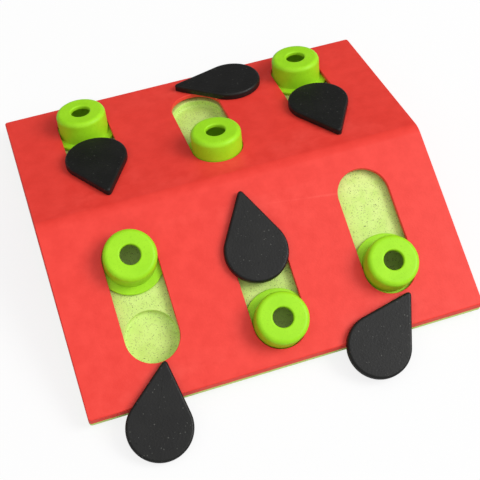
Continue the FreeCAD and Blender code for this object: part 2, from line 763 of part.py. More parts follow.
def make_case_screws():
    """The screws that hold the tray to the cover, driven from below."""
    body = new_body("case_screws")
    body.AllowCompound = True
    seat, head_height = size["screw_seat"], size["case_head_height"]
    heads = new_sketch(body, "heads", offset=level_placement(zero, zero, seat - head_height))
    shanks = new_sketch(body, "shanks", offset=level_placement(zero, zero, seat - JOIN))
    for x, y in all_screws():
        draw_circle(heads, x, y, size["case_head_radius"])
        draw_circle(shanks, x, y, size["case_screw_radius"])
    pad(body, "head_pads", heads, head_height)
    pad(body, "shank_pads", shanks, size["case_screw_length"] + JOIN)
    return body


def make_foot(name, x, y):
    """Round non-slip pad, stuck to its seat under a corner of the tray."""
    body = new_body(name)
    radius, height = size["foot_radius"], size["foot_height"]
    revolve(body, [(zero, zero), (radius, zero), (radius, height), (zero, height)])
    body.setExpression("Placement", level_placement(x, y, zero))
    return body


def make_all():
    pieces = [make_top_cover(), make_base_tray()]
    for station in STATIONS:
        pieces.append(make_slider(station))
        pieces.append(make_lid(station))
        pieces.append(make_lid_screw(station))
    pieces.append(make_case_screws())
    corners = ("foot_front_left", "foot_front_right", "foot_back_left", "foot_back_right")
    for name, (x, y) in zip(corners, foot_places()):
        pieces.append(make_foot(name, x, y))
    return pieces


def check_and_export(pieces):
    """Stop on any failed object, then write one file for each piece."""
    doc.recompute()
    for item in doc.Objects:
        if "Invalid" in item.State or "Error" in item.State:
            raise ValueError(f"{item.Name} failed: {item.State}")
    os.makedirs("parts", exist_ok=True)
    for piece in pieces:
        shape = piece.Shape
        if shape.isNull() or not shape.isValid():
            raise ValueError(f"{piece.Label} has no valid shape")
        shape.exportStep(f"parts/{piece.Label}.step")
        print(f"{piece.Label}: {len(shape.Solids)} solid, {shape.Volume / 1000:.2f} cm3")


check_and_export(make_all())
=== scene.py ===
import bpy
import math
from mathutils import Matrix, Vector


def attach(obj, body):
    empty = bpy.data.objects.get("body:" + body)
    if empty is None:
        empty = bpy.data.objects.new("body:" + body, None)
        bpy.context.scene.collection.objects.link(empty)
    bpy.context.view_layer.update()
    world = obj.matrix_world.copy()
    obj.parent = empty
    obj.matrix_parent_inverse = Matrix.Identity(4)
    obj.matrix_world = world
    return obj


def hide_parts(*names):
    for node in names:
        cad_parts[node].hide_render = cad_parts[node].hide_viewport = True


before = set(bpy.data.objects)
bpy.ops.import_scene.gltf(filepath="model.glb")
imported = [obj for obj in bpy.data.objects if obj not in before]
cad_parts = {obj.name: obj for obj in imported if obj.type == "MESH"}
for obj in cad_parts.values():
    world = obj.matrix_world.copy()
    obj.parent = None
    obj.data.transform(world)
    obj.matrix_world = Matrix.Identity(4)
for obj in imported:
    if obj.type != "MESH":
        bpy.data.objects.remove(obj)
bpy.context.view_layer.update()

# Camera. It looks down on the front slope from the left, through a longish lens.
# Its place was fitted to the outline, the fold and the slots.
bpy.ops.object.camera_add(location=(-0.14515, -0.41627, 0.67272))
camera = bpy.context.object
camera.rotation_euler = (math.radians(32.1221), math.radians(-0.9092), math.radians(-18.5840))
camera.data.lens = 82.0
camera.data.sensor_width = 36.0
bpy.context.scene.camera = camera
bpy.context.scene.view_settings.view_transform = "Standard"


# Floor and light. A white studio floor that the camera sees as plain white where no shadow falls,
# a pale surround that is brightest overhead, and one large soft lamp at the upper right.
FLOOR_GREY = 0.60
WHITE_SHARE, WHITE_STRENGTH = 0.7, 1.16
SKY_BRIGHTEST_WAY, SKY_DARKEST, SKY_BRIGHTEST = (0.0, -0.35, 0.94), 0.05, 0.95
SOFTBOX_PLACE, SOFTBOX_SIZE, SOFTBOX_POWER = (3.2, -1.2, 3.4), 2.4, 128.0


def add_link(material, from_node, from_socket, to_node, to_socket):
    material.node_tree.links.new(from_node.outputs[from_socket], to_node.inputs[to_socket])


def nothing_selected():
    """Leave edit mode and select nothing, so that the next operator meets only its own piece."""
    if bpy.context.object and bpy.context.object.mode == "EDIT":
        bpy.ops.object.mode_set(mode="OBJECT")
    bpy.ops.object.select_all(action="DESELECT")


nothing_selected()
bpy.ops.mesh.primitive_plane_add(size=6.0, location=(0, 0, 0))
floor = bpy.context.object
floor.name = "studio_floor"
floor_finish = bpy.data.materials.new("white_floor")
floor_finish.use_nodes = True
floor_shader = floor_finish.node_tree.nodes["Principled BSDF"]
floor_shader.inputs["Base Color"].default_value = (FLOOR_GREY, FLOOR_GREY, FLOOR_GREY, 1)
floor_shader.inputs["Roughness"].default_value = 0.9
floor_shader.inputs["Specular IOR Level"].default_value = 0.0
floor_nodes = floor_finish.node_tree.nodes
for_camera = floor_nodes.new("ShaderNodeLightPath")
share = floor_nodes.new("ShaderNodeMath")
share.operation = "MULTIPLY"
share.inputs[1].default_value = WHITE_SHARE
add_link(floor_finish, for_camera, "Is Camera Ray", share, 0)
plain_white = floor_nodes.new("ShaderNodeEmission")
plain_white.inputs["Color"].default_value = (1.0, 1.0, 1.0, 1)
plain_white.inputs["Strength"].default_value = WHITE_STRENGTH
both_shaders = floor_nodes.new("ShaderNodeMixShader")
add_link(floor_finish, share, "Value", both_shaders, "Fac")
add_link(floor_finish, floor_shader, "BSDF", both_shaders, 1)
add_link(floor_finish, plain_white, "Emission", both_shaders, 2)
add_link(floor_finish, both_shaders, "Shader", floor_nodes["Material Output"], "Surface")
floor.data.materials.append(floor_finish)

surround = bpy.data.worlds.new("pale_surround")
surround.use_nodes = True
world_nodes = surround.node_tree.nodes
sky = world_nodes["Background"]
sky.inputs["Color"].default_value = (1.0, 1.0, 1.0, 1)
sky_place = world_nodes.new("ShaderNodeTexCoord")
toward_top = world_nodes.new("ShaderNodeVectorMath")
toward_top.operation = "DOT_PRODUCT"
toward_top.inputs[1].default_value = SKY_BRIGHTEST_WAY
brightness = world_nodes.new("ShaderNodeMapRange")
brightness.inputs["To Min"].default_value = SKY_DARKEST
brightness.inputs["To Max"].default_value = SKY_BRIGHTEST
add_link(surround, sky_place, "Generated", toward_top, 0)
add_link(surround, toward_top, "Value", brightness, "Value")
add_link(surround, brightness, "Result", sky, "Strength")
white_behind = world_nodes.new("ShaderNodeBackground")
white_behind.inputs["Color"].default_value = (1.0, 1.0, 1.0, 1)
seen = world_nodes.new("ShaderNodeLightPath")
both_skies = world_nodes.new("ShaderNodeMixShader")
add_link(surround, seen, "Is Camera Ray", both_skies, "Fac")
add_link(surround, sky, "Background", both_skies, 1)
add_link(surround, white_behind, "Background", both_skies, 2)
add_link(surround, both_skies, "Shader", world_nodes["World Output"], "Surface")
bpy.context.scene.world = surround

bpy.ops.object.light_add(type="AREA", location=SOFTBOX_PLACE)
softbox = bpy.context.object
softbox.data.shape = "SQUARE"
softbox.data.size = SOFTBOX_SIZE
softbox.data.energy = SOFTBOX_POWER
softbox.rotation_euler = Vector(SOFTBOX_PLACE).to_track_quat("Z", "Y").to_euler()


# Cover. One injection-moulded red shell: two slopes that meet in a soft fold, a short skirt all
# round, and three round-ended slots in each slope. Under it are slide rails and screw bosses.
WIDTH = 0.280
SLOPE_LENGTH = 0.1344
SLOPE = math.radians(18)
HALF_DEPTH = SLOPE_LENGTH * math.cos(SLOPE)
FOLD_HEIGHT = 0.0134 + SLOPE_LENGTH * math.sin(SLOPE)
FOLD_BEND = 0.0145
COVER_WALL, SKIRT_WALL, SKIRT_LOW = 0.003, 0.0025, 0.0082
SLOT_RADIUS, SLOT_TRAVEL = 0.0186, 0.0548
EDGE_CUP, RIDGE_CUP = 0.092, 0.0522
EDGE_PIVOT, RIDGE_PIVOT = 0.119, 0.0216
STATIONS = {
    "front_left": {"side": 1, "along": -0.085, "cup": EDGE_CUP, "pivot": EDGE_PIVOT},
    "front_middle": {"side": 1, "along": 0.0, "cup": RIDGE_CUP, "pivot": RIDGE_PIVOT},
    "front_right": {"side": 1, "along": 0.085, "cup": EDGE_CUP, "pivot": EDGE_PIVOT},
    "back_left": {"side": -1, "along": -0.085, "cup": RIDGE_CUP, "pivot": RIDGE_PIVOT},
    "back_middle": {"side": -1, "along": 0.0, "cup": EDGE_CUP, "pivot": EDGE_PIVOT},
    "back_right": {"side": -1, "along": 0.085, "cup": RIDGE_CUP, "pivot": RIDGE_PIVOT},
}
SCREWS = [(x, y) for y in (-0.102, 0.102) for x in (-0.127, 0.127)] + [(-0.0425, 0.0), (0.0425, 0.0)]
BOSS_RADIUS, BOSS_LOW = 0.004, 0.00615
BORE_RADIUS, BORE_LOW, BORE_TOP = 0.0014, 0.005, 0.01415
RAIL_NEAR, RAIL_FAR, RAIL_REACH = 0.024, 0.0258, SLOT_TRAVEL / 2 + 0.0236
RAIL_LOW, RAIL_TOP = -0.0058, -0.0022
PIVOT_HOLE = 0.00205
CORNER_RADIUS, EDGE_RADIUS, SLOT_EDGE = 0.002, 0.0009, 0.0005
CUT_REACH, BELOW_ALL, ABOVE_ALL = 0.005, -0.01, 0.06
TOUCH, ON_FACE, ON_CIRCLE = 1e-6, 2e-5, 5e-5
SMOOTH_BELOW = math.radians(35)


def on_slope(side, along, down, lift=0.0, turn=0.0):
    """Frame on a slope: Z stands square to the slope, X runs along the fold before the turn."""
    y = (down * math.cos(SLOPE) + lift * math.sin(SLOPE)) * -side
    z = FOLD_HEIGHT - down * math.sin(SLOPE) + lift * math.cos(SLOPE)
    place = Matrix.Translation((along, y, z))
    return place @ Matrix.Rotation(SLOPE * side, 4, "X") @ Matrix.Rotation(turn, 4, "Z")


def slot_middle(station):
    """The middle of a station's slot, down the slope."""
    way = -1 if station["cup"] == EDGE_CUP else 1
    return station["cup"] + way * SLOT_TRAVEL / 2


def make_active(piece):
    nothing_selected()
    piece.select_set(True)
    bpy.context.view_layer.objects.active = piece


def new_piece(name):
    """Name the fresh primitive and put its place and size into its mesh."""
    piece = bpy.context.object
    piece.name = name
    bpy.ops.object.transform_apply(location=True, rotation=True, scale=True)
    return piece


def pick(piece, kind, chosen):
    """Select, in edit mode, the faces, edges or vertices that the test chooses by place or normal."""
    make_active(piece)
    bpy.ops.object.mode_set(mode="EDIT")
    bpy.ops.mesh.select_mode(type={"faces": "FACE", "edges": "EDGE", "vertices": "VERT"}[kind])
    bpy.ops.mesh.select_all(action="DESELECT")
    bpy.ops.object.mode_set(mode="OBJECT")
    mesh = piece.data
    if kind == "faces":
        for face in mesh.polygons:
            face.select = chosen(face.center, face.normal)
    elif kind == "edges":
        for edge in mesh.edges:
            edge.select = chosen(*(mesh.vertices[number].co for number in edge.vertices))
    else:
        for vertex in mesh.vertices:
            vertex.select = chosen(vertex.co)
    bpy.ops.object.mode_set(mode="EDIT")


def pick_all(piece):
    make_active(piece)
    bpy.ops.object.mode_set(mode="EDIT")
    bpy.ops.mesh.select_all(action="SELECT")


def place_mesh(piece, matrix):
    """Move a piece's mesh to its place and leave its object at the origin."""
    make_active(piece)
    piece.matrix_world = matrix
    bpy.ops.object.transform_apply(location=True, rotation=True, scale=True)


def join_up(pieces):
    """Make separate solids one object, to be added or cut in one go."""
    nothing_selected()
    for piece in pieces:
        piece.select_set(True)
    bpy.context.view_layer.objects.active = pieces[0]
    if len(pieces) > 1:
        bpy.ops.object.join()
    return bpy.context.object


def combine(piece, tools, operation):
    """Cut the tools out of the piece, or add them to it, and remove them."""
    tool = join_up(tools)
    make_active(piece)
    change = piece.modifiers.new("change", "BOOLEAN")
    change.object = tool
    change.operation = operation
    change.solver = "EXACT"
    bpy.ops.object.modifier_apply(modifier=change.name)
    bpy.data.objects.remove(tool)


def bevel_picked(width, segments, affect="EDGES"):
    bpy.ops.mesh.bevel(offset=width, segments=segments, profile=0.5, affect=affect, clamp_overlap=False)


def finish_shading(piece):
    """Smooth the rounded parts and keep the large flat faces flat."""
    make_active(piece)
    bpy.ops.object.shade_smooth_by_angle(angle=SMOOTH_BELOW)
    weighted = piece.modifiers.new("flat_faces_first", "WEIGHTED_NORMAL")
    weighted.keep_sharp = True
    bpy.ops.object.modifier_apply(modifier=weighted.name)


def folded_block(name, half_width, half_depth, low, drop, middle=0.0):
    """A box whose top is lifted along the middle into two slopes, a depth under the cover's."""
    shoulder = FOLD_HEIGHT - half_depth * math.tan(SLOPE) - drop / math.cos(SLOPE)
    nothing_selected()
    bpy.ops.mesh.primitive_cube_add(
        size=1.0,
        location=(middle, 0, (low + shoulder) / 2),
        scale=(2 * half_width, 2 * half_depth, shoulder - low),
    )
    block = new_piece(name)
    pick_all(block)
    bpy.ops.mesh.bisect(plane_co=(0, 0, 0), plane_no=(0, 1, 0))
    pick(block, "vertices", lambda point: abs(point.y) < TOUCH and point.z > low + TOUCH)
    bpy.ops.transform.translate(value=(0, 0, half_depth * math.tan(SLOPE)))
    return block


def round_fold(block, drop, bend):
    """Roll the edge along the ridge to its bend."""
    ridge = FOLD_HEIGHT - drop / math.cos(SLOPE)
    pick(block, "edges", lambda a, b: all(abs(p.y) < TOUCH and abs(p.z - ridge) < TOUCH for p in (a, b)))
    bevel_picked(bend * math.tan(SLOPE), 10)


def round_uprights(block, width):
    """Round a box's upright corners."""
    pick(block, "edges", lambda a, b: math.hypot(a.x - b.x, a.y - b.y) < TOUCH < abs(a.y))
    bevel_picked(width, 5)


def round_outer_top(block, width, segments=4):
    """Round the outline of all the faces that look up."""
    pick(block, "faces", lambda centre, normal: normal.z > 0.9)
    bpy.ops.mesh.region_to_loop()
    bevel_picked(width, segments)


def round_bar(radius, length, low, high):
    """An upright bar with a round-ended outline: a cylinder whose two halves are drawn apart."""
    nothing_selected()
    bpy.ops.mesh.primitive_cylinder_add(
        vertices=96, radius=radius, depth=high - low, location=(0, 0, (low + high) / 2)
    )
    bar = new_piece("round_bar")
    pick_all(bar)
    bpy.ops.mesh.bisect(plane_co=(0, 0, 0), plane_no=(0, 1, 0))
    for way in (-1, 1):
        pick(bar, "vertices", lambda point, way=way: point.y * way > 1e-5)
        bpy.ops.transform.translate(value=(0, way * length / 2, 0))
    return bar


def post(place, radius, low, high, vertices=48):
    """A plain upright cylinder at a place, from one height to another."""
    nothing_selected()
    bpy.ops.mesh.primitive_cylinder_add(
        vertices=vertices, radius=radius, depth=high - low, location=(*place, (low + high) / 2)
    )
    return new_piece("post")


def trim_under(piece, drop):
    """Slice off what stands above both slopes, a depth under the cover's top."""
    for side in (1, -1):
        plane = on_slope(side, 0, 0, -drop)
        pick_all(piece)
        bpy.ops.mesh.bisect(
            plane_co=plane.translation, plane_no=plane.col[2].xyz, clear_outer=True, use_fill=True
        )
    bpy.ops.object.mode_set(mode="OBJECT")
    return piece


def slope_box(station, x_low, x_high, y_low, y_high, low, high):
    """A box on a station's slope, measured from the middle of its slot."""
    nothing_selected()
    bpy.ops.mesh.primitive_cube_add(
        size=1.0,
        location=((x_low + x_high) / 2, (y_low + y_high) / 2, (low + high) / 2),
        scale=(x_high - x_low, y_high - y_low, high - low),
    )
    box = new_piece("slope_box")
    place_mesh(box, on_slope(station["side"], station["along"], slot_middle(station)))
    return box


def on_slot_rim(a, b):
    """Is this edge part of a slot's outline on the top face?"""
    for station in STATIONS.values():
        local = on_slope(station["side"], station["along"], slot_middle(station)).inverted()
        places = [local @ a, local @ b]
        distances = [math.hypot(p.x, max(abs(p.y) - SLOT_TRAVEL / 2, 0)) for p in places]
        if all(abs(p.z) < ON_FACE and abs(d - SLOT_RADIUS) < ON_CIRCLE for p, d in zip(places, distances)):
            return True
    return False


cover = folded_block("cover_shell", WIDTH / 2, HALF_DEPTH, SKIRT_LOW, 0.0)
round_fold(cover, 0.0, FOLD_BEND)
round_uprights(cover, CORNER_RADIUS)
round_outer_top(cover, EDGE_RADIUS)
cavity = folded_block("cavity", WIDTH / 2 - SKIRT_WALL, HALF_DEPTH - SKIRT_WALL, BELOW_ALL, COVER_WALL)
round_fold(cavity, COVER_WALL, FOLD_BEND - COVER_WALL)
combine(cover, [cavity], "DIFFERENCE")
slot_cutters = []
pivot_cutters = []
rails = []
for station in STATIONS.values():
    slot_cutters.append(round_bar(SLOT_RADIUS, SLOT_TRAVEL, -CUT_REACH, CUT_REACH))
    place_mesh(slot_cutters[-1], on_slope(station["side"], station["along"], slot_middle(station)))
    pivot_cutters.append(post((0, 0), PIVOT_HOLE, -CUT_REACH, CUT_REACH, 32))
    place_mesh(pivot_cutters[-1], on_slope(station["side"], station["along"], station["pivot"]))
    for near, far in ((RAIL_NEAR, RAIL_FAR), (-RAIL_FAR, -RAIL_NEAR)):
        rails.append(slope_box(station, near, far, -RAIL_REACH, RAIL_REACH, RAIL_LOW, RAIL_TOP))
combine(cover, slot_cutters, "DIFFERENCE")
combine(cover, pivot_cutters, "DIFFERENCE")
pick(cover, "edges", on_slot_rim)
bevel_picked(SLOT_EDGE, 3)
combine(cover, rails, "UNION")
bosses = [trim_under(post(place, BOSS_RADIUS, BOSS_LOW, ABOVE_ALL), COVER_WALL / 2) for place in SCREWS]
combine(cover, bosses, "UNION")
combine(cover, [post(place, BORE_RADIUS, BORE_LOW, BORE_TOP, 32) for place in SCREWS], "DIFFERENCE")
finish_shading(cover)


def moulded_surface_group():
    """Shared effect: two close shades in soft clouds, convex edges lightened partly as rubbed wear and
    partly as a painted highlight, and a fine spark-eroded grain.
    """
    group = bpy.data.node_groups.new("moulded_surface", "ShaderNodeTree")
    face = group.interface
    face.new_socket("Position", in_out="INPUT", socket_type="NodeSocketVector")
    for name in ("Light", "Dark", "Edge Wear And Highlight"):
        face.new_socket(name, in_out="INPUT", socket_type="NodeSocketColor")
    for name in ("Cloud Size", "Grain Size", "Grain Height", "Gloss"):
        face.new_socket(name, in_out="INPUT", socket_type="NodeSocketFloat")
    face.new_socket("Color", in_out="OUTPUT", socket_type="NodeSocketColor")
    face.new_socket("Roughness", in_out="OUTPUT", socket_type="NodeSocketFloat")
    face.new_socket("Normal", in_out="OUTPUT", socket_type="NodeSocketVector")
    nodes, link = group.nodes, group.links.new
    inward, outward = nodes.new("NodeGroupInput"), nodes.new("NodeGroupOutput")
    cloud = nodes.new("ShaderNodeTexNoise")
    cloud.inputs["Detail"].default_value = 4.0
    cloud.inputs["Roughness"].default_value = 0.6
    link(inward.outputs["Position"], cloud.inputs["Vector"])
    link(inward.outputs["Cloud Size"], cloud.inputs["Scale"])
    spread = nodes.new("ShaderNodeMapRange")
    spread.inputs["From Min"].default_value = 0.35
    spread.inputs["From Max"].default_value = 0.65
    link(cloud.outputs["Fac"], spread.inputs["Value"])
    tint = nodes.new("ShaderNodeMix")
    tint.data_type = "RGBA"
    link(spread.outputs["Result"], tint.inputs["Factor"])
    link(inward.outputs["Dark"], tint.inputs["A"])
    link(inward.outputs["Light"], tint.inputs["B"])
    shape = nodes.new("ShaderNodeNewGeometry")
    edges = nodes.new("ShaderNodeMapRange")
    edges.inputs["From Min"].default_value = 0.53
    edges.inputs["From Max"].default_value = 0.62
    edges.inputs["To Max"].default_value = 0.5
    link(shape.outputs["Pointiness"], edges.inputs["Value"])
    patchy = nodes.new("ShaderNodeMath")
    patchy.operation = "MULTIPLY"
    link(edges.outputs["Result"], patchy.inputs[0])
    link(spread.outputs["Result"], patchy.inputs[1])
    # Lighter convex edges: partly rubbed wear, partly a painted edge highlight.
    worn_and_highlit_edges = nodes.new("ShaderNodeMix")
    worn_and_highlit_edges.data_type = "RGBA"
    link(patchy.outputs["Value"], worn_and_highlit_edges.inputs["Factor"])
    link(tint.outputs["Result"], worn_and_highlit_edges.inputs["A"])
    link(inward.outputs["Edge Wear And Highlight"], worn_and_highlit_edges.inputs["B"])
    grain = nodes.new("ShaderNodeTexNoise")
    grain.inputs["Detail"].default_value = 2.0
    link(inward.outputs["Position"], grain.inputs["Vector"])
    link(inward.outputs["Grain Size"], grain.inputs["Scale"])
    gloss = nodes.new("ShaderNodeMath")
    gloss.operation = "MULTIPLY_ADD"
    gloss.inputs[1].default_value = 0.14
    link(grain.outputs["Fac"], gloss.inputs[0])
    link(inward.outputs["Gloss"], gloss.inputs[2])
    relief = nodes.new("ShaderNodeBump")
    relief.inputs["Strength"].default_value = 0.4
    link(inward.outputs["Grain Height"], relief.inputs["Distance"])
    link(grain.outputs["Fac"], relief.inputs["Height"])
    link(worn_and_highlit_edges.outputs["Result"], outward.inputs["Color"])
    link(gloss.outputs["Value"], outward.inputs["Roughness"])
    link(relief.outputs["Normal"], outward.inputs["Normal"])
    return group


MOULDED_SURFACE = moulded_surface_group()


def moulded_plastic(
    name, light, dark, edge_wear_and_highlight, cloud=60.0, grain=1500.0, height=0.00005, gloss=0.36, sheen=0.3
):
    """A plain moulded plastic in two close shades; the sheen is the strength of its reflection."""
    finish = bpy.data.materials.new(name)
    finish.use_nodes = True
    nodes = finish.node_tree.nodes
    nodes["Principled BSDF"].inputs["Specular IOR Level"].default_value = sheen
    surface = nodes.new("ShaderNodeGroup")
    surface.node_tree = MOULDED_SURFACE
    surface.inputs["Light"].default_value = (*light, 1)
    surface.inputs["Dark"].default_value = (*dark, 1)
    surface.inputs["Edge Wear And Highlight"].default_value = (*edge_wear_and_highlight, 1)
    surface.inputs["Cloud Size"].default_value = cloud
    surface.inputs["Grain Size"].default_value = grain
    surface.inputs["Grain Height"].default_value = height
    surface.inputs["Gloss"].default_value = gloss
    add_link(finish, nodes.new("ShaderNodeTexCoord"), "Object", surface, "Position")
    for socket, target in (("Color", "Base Color"), ("Roughness", "Roughness"), ("Normal", "Normal")):
        add_link(finish, surface, socket, nodes["Principled BSDF"], target)
    return finish


def dress(piece, finish, body, node):
    """Give a piece its only material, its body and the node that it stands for."""
    piece.data.materials.clear()
    piece.data.materials.append(finish)
    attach(piece, body)
    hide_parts(node)


red_plastic = moulded_plastic(
    "red_cover_plastic",
    (0.93, 0.058, 0.041),
    (0.87, 0.047, 0.032),
    (1.0, 0.13, 0.10),
    cloud=90.0,
    grain=800.0,
    height=0.00022,
    sheen=0.3,
)
dress(cover, red_plastic, "case", "top_cover")


# Tray. A pale lime moulding with fine dark flecks, screwed up into the cover. Its floor shows in
# the slots, its round cups hold the treats, its rim shows under the skirt, and its walls stand below.
TRAY_X, TRAY_Y, TRAY_LOW = WIDTH / 2 - 0.0028, HALF_DEPTH - 0.0028, 0.00025
TRAY_DROP, TRAY_WALL = 0.006, 0.002
RIM_X, RIM_Y, RIM_LOW, RIM_HIGH = WIDTH / 2 - 0.0002, HALF_DEPTH - 0.0002, 0.00465, 0.00805
CUP_RADIUS, CUP_WALL, CUP_DEPTH = 0.0182, 0.0018, 0.005
CUP_BEND, CUP_EDGE, CUP_CUT_TOP, CUP_FOOT = 0.0018, 0.0006, -0.004, -0.0128
IN_FLOOR, RIM_EDGE = 0.007, 0.0005
RIB, RIB_LOW = 0.0018, 0.0012
LONG_RIBS = (-0.0425, 0.0425)
CROSS_RIBS = ((-0.063, 0.0), (0.0, 0.002), (0.063, 0.0))
SOCKET_RADIUS, SOCKET_BORE, SOCKET_FLOOR = 0.0062, 0.0042, 0.006
SCREW_HOLE, SCREW_HOLE_LOW, SCREW_HOLE_TOP = 0.0018, 0.003, 0.008
HEAD_WELL, HEAD_WELL_LOW, HEAD_SEAT = 0.0034, -0.001, 0.004
SEAT_RADIUS, SEAT_LOW = 0.0068, 0.002
PADS = {
    "foot_front_left": (-0.108, -0.1135),
    "foot_front_right": (0.108, -0.1135),
    "foot_back_left": (-0.108, 0.1135),
    "foot_back_right": (0.108, 0.1135),
}


def floor_height(y, drop):
    """Height of a sloping face at a distance across, a depth under the cover's top."""
    return FOLD_HEIGHT - abs(y) * math.tan(SLOPE) - drop / math.cos(SLOPE)


def level_box(x, y, z):
    """A box between two places on each axis."""
    nothing_selected()
    bpy.ops.mesh.primitive_cube_add(
        size=1.0,
        location=(sum(x) / 2, sum(y) / 2, sum(z) / 2),
        scale=(x[1] - x[0], y[1] - y[0], z[1] - z[0]),
    )
    return new_piece("level_box")


def rim_slab():
    """The rim before it is hollowed: a flat slab with rounded corners and broken edges."""
    slab = level_box((-RIM_X, RIM_X), (-RIM_Y, RIM_Y), (RIM_LOW, RIM_HIGH))
    round_uprights(slab, CORNER_RADIUS)
    round_outer_top(slab, RIM_EDGE, 3)
    pick(slab, "faces", lambda centre, normal: normal.z < -0.9)
    bpy.ops.mesh.region_to_loop()
    bevel_picked(RIM_EDGE, 3)
    bpy.ops.object.mode_set(mode="OBJECT")
    return slab


def cup_cutter(station):
    """A cup's hollow, with the soft corner round its bottom."""
    low = -TRAY_DROP - CUP_DEPTH
    cutter = post((0, 0), CUP_RADIUS, low, CUP_CUT_TOP, 96)
    pick(cutter, "edges", lambda a, b: max(a.z, b.z) < low + TOUCH)
    bevel_picked(CUP_BEND, 5)
    place_mesh(cutter, on_slope(station["side"], station["along"], station["cup"]))
    return cutter


def on_cup_rim(a, b):
    """Is this edge part of a cup's circle in the tray's floor?"""
    for station in STATIONS.values():
        local = on_slope(station["side"], station["along"], station["cup"], -TRAY_DROP).inverted()
        places = [local @ a, local @ b]
        if all(abs(p.z) < ON_FACE and abs(math.hypot(p.x, p.y) - CUP_RADIUS) < ON_CIRCLE for p in places):
            return True
    return False


tray = folded_block("tray_shell", TRAY_X, TRAY_Y, TRAY_LOW, TRAY_DROP)
round_fold(tray, TRAY_DROP, FOLD_BEND - TRAY_DROP)
combine(tray, [rim_slab()], "UNION")
hollow = folded_block("hollow", TRAY_X - TRAY_WALL, TRAY_Y - TRAY_WALL, BELOW_ALL, TRAY_DROP + TRAY_WALL)
combine(tray, [hollow], "DIFFERENCE")
wells = []
for station in STATIONS.values():
    wells.append(post((0, 0), CUP_RADIUS + CUP_WALL, CUP_FOOT, -IN_FLOOR, 96))
    place_mesh(wells[-1], on_slope(station["side"], station["along"], station["cup"]))
combine(tray, wells, "UNION")
half = TRAY_Y - TRAY_WALL / 2
combine(tray, [folded_block("rib", RIB / 2, half, RIB_LOW, IN_FLOOR, x) for x in LONG_RIBS], "UNION")
half = TRAY_X - TRAY_WALL / 2
cross_ribs = []
for y, lower in CROSS_RIBS:
    top = floor_height(y, IN_FLOOR) - lower
    cross_ribs.append(level_box((-half, half), (y - RIB / 2, y + RIB / 2), (RIB_LOW, top)))
combine(tray, cross_ribs, "UNION")
sockets = [trim_under(post(place, SOCKET_RADIUS, RIB_LOW, ABOVE_ALL), IN_FLOOR) for place in SCREWS]
seats = [trim_under(post(place, SEAT_RADIUS, SEAT_LOW, ABOVE_ALL), IN_FLOOR) for place in PADS.values()]
combine(tray, sockets + seats, "UNION")
for radius, low, high, vertices in (
    (SOCKET_BORE, SOCKET_FLOOR, ABOVE_ALL, 48),
    (SCREW_HOLE, SCREW_HOLE_LOW, SCREW_HOLE_TOP, 32),
    (HEAD_WELL, HEAD_WELL_LOW, HEAD_SEAT, 48),
):
    combine(tray, [post(place, radius, low, high, vertices) for place in SCREWS], "DIFFERENCE")
combine(tray, [cup_cutter(station) for station in STATIONS.values()], "DIFFERENCE")
pick(tray, "edges", on_cup_rim)
bevel_picked(CUP_EDGE, 3)
finish_shading(tray)


def flecked_surface_group():
    """Shared effect: small scattered flecks of uneven size over a base colour."""
    group = bpy.data.node_groups.new("flecked_surface", "ShaderNodeTree")
    face = group.interface
    face.new_socket("Position", in_out="INPUT", socket_type="NodeSocketVector")
    face.new_socket("Base", in_out="INPUT", socket_type="NodeSocketColor")
    face.new_socket("Fleck", in_out="INPUT", socket_type="NodeSocketColor")
    for name in ("Closeness", "Reach", "Share"):
        face.new_socket(name, in_out="INPUT", socket_type="NodeSocketFloat")
    face.new_socket("Color", in_out="OUTPUT", socket_type="NodeSocketColor")
    nodes, link = group.nodes, group.links.new
    inward, outward = nodes.new("NodeGroupInput"), nodes.new("NodeGroupOutput")
    wobble = nodes.new("ShaderNodeTexNoise")
    wobble.inputs["Scale"].default_value = 1500.0
    link(inward.outputs["Position"], wobble.inputs["Vector"])
    shift = nodes.new("ShaderNodeVectorMath")
    shift.operation = "MULTIPLY_ADD"
    shift.inputs[1].default_value = (0.0006, 0.0006, 0.0006)
    link(wobble.outputs["Color"], shift.inputs[0])
    link(inward.outputs["Position"], shift.inputs[2])
    cells = nodes.new("ShaderNodeTexVoronoi")
    link(shift.outputs["Vector"], cells.inputs["Vector"])
    link(inward.outputs["Closeness"], cells.inputs["Scale"])
    chance = nodes.new("ShaderNodeSeparateColor")
    link(cells.outputs["Color"], chance.inputs["Color"])
    reach = nodes.new("ShaderNodeMath")
    reach.operation = "MULTIPLY"
    link(chance.outputs["Red"], reach.inputs[0])
    link(inward.outputs["Reach"], reach.inputs[1])
    inside = nodes.new("ShaderNodeMath")
    inside.operation = "LESS_THAN"
    link(cells.outputs["Distance"], inside.inputs[0])
    link(reach.outputs["Value"], inside.inputs[1])
    kept = nodes.new("ShaderNodeMath")
    kept.operation = "LESS_THAN"
    link(chance.outputs["Green"], kept.inputs[0])
    link(inward.outputs["Share"], kept.inputs[1])
    mask = nodes.new("ShaderNodeMath")
    mask.operation = "MULTIPLY"
    link(inside.outputs["Value"], mask.inputs[0])
    link(kept.outputs["Value"], mask.inputs[1])
    faint = nodes.new("ShaderNodeMath")
    faint.operation = "MULTIPLY"
    link(mask.outputs["Value"], faint.inputs[0])
    link(chance.outputs["Blue"], faint.inputs[1])
    tint = nodes.new("ShaderNodeMix")
    tint.data_type = "RGBA"
    link(faint.outputs["Value"], tint.inputs["Factor"])
    link(inward.outputs["Base"], tint.inputs["A"])
    link(inward.outputs["Fleck"], tint.inputs["B"])
    link(tint.outputs["Result"], outward.inputs["Color"])
    return group


FLECKED_SURFACE = flecked_surface_group()


